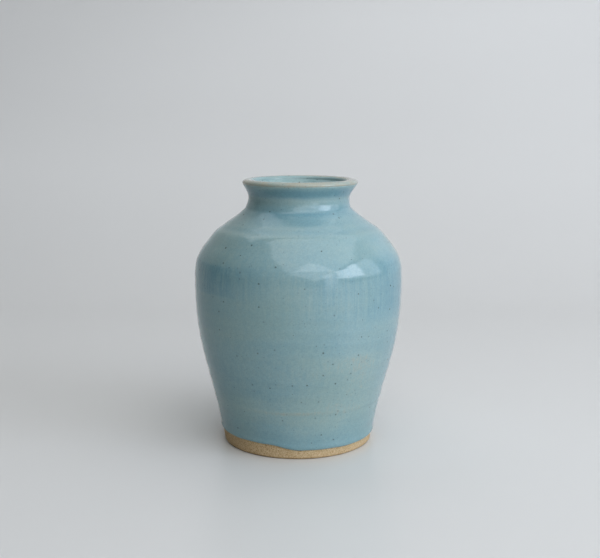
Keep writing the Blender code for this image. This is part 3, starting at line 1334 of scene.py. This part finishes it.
    def _soil_and_contact_shade(self, spot: Spot) -> float:
        """How far the clay is darkened by soil, and by painted contact shade along the foot's outer edge.

        Args:
            spot: Where on the body.

        Returns:
            The share of the way to the dark colour, which may pass 1 on the edge.
        """
        flat_mm = (self.wall.foot - self.foot_round) / MM
        # painted contact shade: the foot's outer edge is darkened where it meets the table
        edge_darkening = self.contact_shade_edge.at(spot.z_mm) * eased(spot.radius_mm, flat_mm - 0.8, flat_mm)
        at_glaze = self.soiled_line.at(abs(spot.z_mm - self.flow.line(spot.bearing)))
        return max(edge_darkening, self.soiled_under.at(spot.z_mm), at_glaze, self.soiled_all)


@dataclass
class OuterGlaze(Layer):
    """The glaze outside, from its wandering, rolled lower edge to just under the lip.

    Attributes:
        roll_tall: How far up over the lower edge the coat is made fine.
        roll_ring: Distance between the rings there.
        roll_mm: Height in which the edge rounds up from the clay.
        bead: How much thicker the bead over the edge is, as a share of the coat.
        bead_up_mm: How far over the edge the bead is thickest.
        bead_wide_mm: Half the bead's width.
        blend_mm: Height over which the edge's wandering fades out.
        lean: How far the foot's wall leans out, in degrees.
        pressed: How the finger marks start over the edge, by the distance from it in millimetres.
    """

    roll_tall: float = 3.0 * MM
    roll_ring: float = 0.12 * MM
    roll_mm: float = 0.7
    bead: float = 0.35
    bead_up_mm: float = 1.3
    bead_wide_mm: float = 1.1
    blend_mm: float = 14.0
    lean: float = 7.4
    pressed: Fade = Fade(5.0, 0.6)

    def build(self) -> bpy.types.Object:
        """Turns the coat, lets it run, rings it and dresses it.

        Returns:
            The coat's object.
        """
        mesh = turned(self._section(), self.steps)
        for vertex in mesh.verts:
            vertex.co = self.hand.placed(self._run(Spot.at(vertex.co)))
        flow = self.flow
        paint = {Coat.BUILD: flow.build, Coat.STREAK: flow.streak, Coat.SPECKS: flow.specks}
        obj = finished("outer_glaze_coat", mesh, paint)
        obj.data.materials.append(CeladonGlaze().material("celadon_glaze_dipped"))
        return self.placed(obj, "outer_glaze", "outer_glaze")

    def _section(self) -> list[Vector]:
        """Draws the coat's closed section.

        Returns:
            Its points, up the outside from the rolled edge, and back down on the clay.
        """
        whole = between(self.wall.outside(), self.flow.line_mm * MM, self.lap)
        roll_top = whole[0].z + self.roll_tall
        rolled = respaced(between(whole, whole[0].z, roll_top), self.roll_ring)
        outer = [*rolled, *respaced(between(whole, roll_top, self.lap), self.ring)[1:]]
        inner = shifted(outer, -self.wall.glaze)
        for i, (out, on_clay) in enumerate(zip(outer, inner)):
            above = (out.z - outer[0].z) / MM
            rising = math.sqrt(max(0.0, 1 - (1 - min(above / self.roll_mm, 1.0)) ** 2))
            thick = rising * (1 + self.bead * hump(above - self.bead_up_mm, self.bead_wide_mm))
            outer[i] = on_clay + (out - on_clay) * thick
        back = respaced(between(inner, inner[0].z, inner[-1].z), self.hidden_ring)
        return [*outer, *reversed(back), outer[0]]

    def _run(self, spot: Spot) -> Spot:
        """Moves a spot of the even coat to where the glaze ran and the fingers pressed.

        Args:
            spot: Where on the even coat.

        Returns:
            Where it ended up.
        """
        line = self.flow.line(spot.bearing)
        top = self.flow.line_mm + self.blend_mm
        if spot.z_mm < top:
            risen = (top - spot.z_mm) * (line - self.flow.line_mm) / self.blend_mm
            spot = spot.moved(risen * math.tan(math.radians(self.lean)), risen)
        return spot.moved(self.hand.outside(spot) * self.pressed.at(spot.z_mm - line))


@dataclass
class LinerGlaze(Layer):
    """The glaze inside, which laps over the lip and shows as its thin pale edge.

    Attributes:
        lip_ring: Distance between its rings over the lip.
        inside_ring: Distance between them inside.
        back_ring: Distance between them on the clay.
    """

    lip_ring: float = 0.22 * MM
    inside_ring: float = 0.8 * MM
    back_ring: float = 2.0 * MM

    def build(self) -> bpy.types.Object:
        """Turns the liner, rings it and dresses it.

        Returns:
            The liner's object.
        """
        mesh = turned(self._section(), self.steps)
        for vertex in mesh.verts:
            spot = Spot.at(vertex.co)
            vertex.co = self.hand.placed(spot.moved(self.hand.inside(spot)))
        flow = self.flow
        paint = {
            Coat.BUILD: flow.liner_build,
            Coat.STREAK: flow.liner_streak,
            Coat.SPECKS: flow.liner_specks,
        }
        obj = finished("liner_glaze_coat", mesh, paint)
        obj.data.materials.append(CeladonGlaze().material("celadon_glaze_poured"))
        return self.placed(obj, "liner_glaze", "liner_glaze")

    def _section(self) -> list[Vector]:
        """Draws the liner's closed section.

        Returns:
            Its points, up from the middle of the floor, over the lip, and back on the clay.
        """
        outside = self.wall.outside()
        lapped = between(outside, self.lap, outside[-1].z + MM)
        lip = respaced([*lapped, *self.wall.lip_edge()[1:]], self.lip_ring)
        shown = [*lip, *respaced(self.wall.inside(), self.inside_ring)[1:]]
        hidden = shifted(shown, -self.wall.glaze)
        hidden[-1] = Vector((0.0, 0.0, self.wall.floor - self.wall.glaze))
        hidden = respaced([p for p in hidden if p.x >= 0], self.back_ring)
        return [*reversed(shown), *hidden]


# ----------------------------------------------------------------------------- stage and light


@dataclass(frozen=True)
class Softbox:
    """A rectangular softbox.

    Attributes:
        name: Its name.
        place: Where its middle is.
        aim: What it faces.
        width: Its width.
        height: Its height.
        brightness: How bright its face is, where a white card in full light is 1.
        colour: Its sRGB hex colour.
        roll: How far it is rolled in its own plane, in degrees.
    """

    name: str
    place: tuple[float, float, float]
    aim: tuple[float, float, float]
    width: float
    height: float
    brightness: float
    colour: str = "#FFFFFF"
    roll: float = 0.0

    def hang(self) -> None:
        """Hangs the softbox in the scene."""
        light = bpy.data.lights.new(self.name, "AREA")
        light.shape = "RECTANGLE"
        light.size, light.size_y = self.width, self.height
        light.energy = self.brightness * math.pi * self.width * self.height
        light.color = linear(self.colour)[:3]
        obj = bpy.data.objects.new(self.name, light)
        obj.location = self.place
        facing = (Vector(self.aim) - Vector(self.place)).to_track_quat("-Z", "Y").to_matrix()
        obj.rotation_euler = (facing @ Matrix.Rotation(math.radians(self.roll), 3, "Z")).to_euler()
        bpy.context.scene.collection.objects.link(obj)


@dataclass(frozen=True)
class Studio:
    """A pale sweep with soft light from above and from a window-like bank on the right.

    Attributes:
        floor_back: Where the floor starts to curve up, behind the vase.
        floor_front: Where it ends, behind the camera.
        cove: Radius of the curve.
        wall_top: Height of the wall.
        width: Width of the sweep.
        surround: Brightness of the room round the sweep, as it lights the vase.
        far_walls: How bright the room's far walls look to the camera.
        room_tint: Colour of the room's light.
        camera_back: How far in front of the vase's axis the camera stands.
        camera_up: How high over the floor it is.
        camera_right: How far right of the axis it is.
        tilt: How far it looks down, in degrees.
        lens_mm: Its focal length.
        sensor_mm: Width of its sensor.
        softboxes: The softboxes.
    """

    floor_back: float = 0.25
    floor_front: float = -2.2
    cove: float = 0.28
    wall_top: float = 1.3
    width: float = 2.6
    surround: float = 0.072
    far_walls: float = 0.42
    room_tint: str = "#F0F5F4"
    camera_back: float = 0.4002
    camera_up: float = 0.1364
    camera_right: float = 0.0007
    tilt: float = 9.87
    lens_mm: float = 59.1
    sensor_mm: float = 36.0
    softboxes: tuple[Softbox, ...] = (
        Softbox(
            "overhead_softbox", (0.35, -0.70, 1.10), (0.35, -0.70, 0.0), 1.5, 1.5, 1.22, "#F6F9FD", 8.0
        ),  # falls on the shoulder as a broad pale sheet
        Softbox(
            "ceiling_softbox", (0.10, 0.33, 1.10), (0.10, 0.33, 0.0), 1.7, 0.42, 1.0, "#F6F9FD"
        ),  # lights the collar, so that the lip's reflection shows dark in front of the neck
        Softbox(
            "window_softbox", (1.15, -0.75, 0.62), (0.0, -0.75, 0.62), 0.9, 0.72, 3.7, "#E8F0FF"
        ),  # makes the hottest highlight
        Softbox("side_softbox", (1.25, -0.35, 0.60), (0.0, -0.35, 0.60), 1.2, 0.9, 1.2, "#E8F0FF"),
        Softbox(
            "front_softbox", (0.42, -1.30, 0.85), (0.0, 0.0, 0.07), 1.1, 1.1, 1.42, "#F6F9FD", 45.0
        ),  # gives that sheet its pointed lower edge
        Softbox(
            "doorway_softbox", (0.74, -1.06, 0.30), (0.0, 0.0, 0.10), 0.34, 0.58, 1.8, "#E8F0FF"
        ),  # stands upright under the highlight
    )

    def build(self) -> None:
        """Builds the sweep, the room's light, the softboxes and the camera."""
        self._sweep()
        self._room()
        for softbox in self.softboxes:
            softbox.hang()
        self._camera()

    def _sweep(self) -> None:
        """Draws out the pale floor with its curved-up wall."""
        turns = [math.pi / 2 * i / 24 for i in range(25)]
        left, back, cove = -self.width / 2, self.floor_back, self.cove
        bend = [(left, back + cove * math.sin(a), cove * (1 - math.cos(a))) for a in turns]
        line = [(left, self.floor_front, 0.0), *bend, (left, back + cove, self.wall_top)]
        mesh = bmesh.new()
        verts = [mesh.verts.new(point) for point in line]
        edges = [mesh.edges.new(pair) for pair in zip(verts, verts[1:])]
        drawn = bmesh.ops.extrude_edge_only(mesh, edges=edges)["geom"]
        moved = [part for part in drawn if isinstance(part, bmesh.types.BMVert)]
        bmesh.ops.translate(mesh, verts=moved, vec=(self.width, 0.0, 0.0))
        obj = finished("studio_sweep", mesh, {})
        obj.data.materials.append(WhiteCard().material("matt_white_card"))

    def _room(self) -> None:
        """Fills the room over the cove with faint even light, and lets its far walls look pale."""
        world = bpy.data.worlds.new("room_light")
        world.use_nodes = True
        tree = world.node_tree
        background = tree.nodes["Background"]
        background.inputs["Color"].default_value = linear(self.room_tint)
        seen = add(tree, "LightPath", {}, {}).outputs["Is Camera Ray"]
        levels = {"Value": seen, "To Min": self.surround, "To Max": self.far_walls}
        glow = add(tree, "MapRange", {}, levels)
        tree.links.new(glow.outputs[0], background.inputs["Strength"])
        bpy.context.scene.world = world

    def _camera(self) -> None:
        """Sets up the camera that looks at the front of the vase."""
        data = bpy.data.cameras.new("front_camera")
        data.sensor_width = self.sensor_mm
        data.lens = self.lens_mm
        data.clip_start = 0.01
        camera = bpy.data.objects.new("front_camera", data)
        camera.location = (self.camera_right, -self.camera_back, self.camera_up)
        camera.rotation_euler = (math.radians(90.0 - self.tilt), 0.0, 0.0)
        bpy.context.scene.collection.objects.link(camera)
        bpy.context.scene.camera = camera
        view = bpy.context.scene.view_settings
        view.view_transform, view.look = "Standard", "Medium High Contrast"


def main() -> None:
    """Builds the vase round its frame, then its stage and light."""
    logging.basicConfig(level=logging.INFO, format="%(name)s: %(message)s")
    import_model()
    wall, hand, flow = ThrownWall.from_frame(), ThrowersHand(), GlazeFlow()
    for layer in (StonewareBody, OuterGlaze, LinerGlaze):
        layer(wall, hand, flow).build()
    Studio().build()
    bpy.context.view_layer.update()


if __name__ == "__main__":
    main()
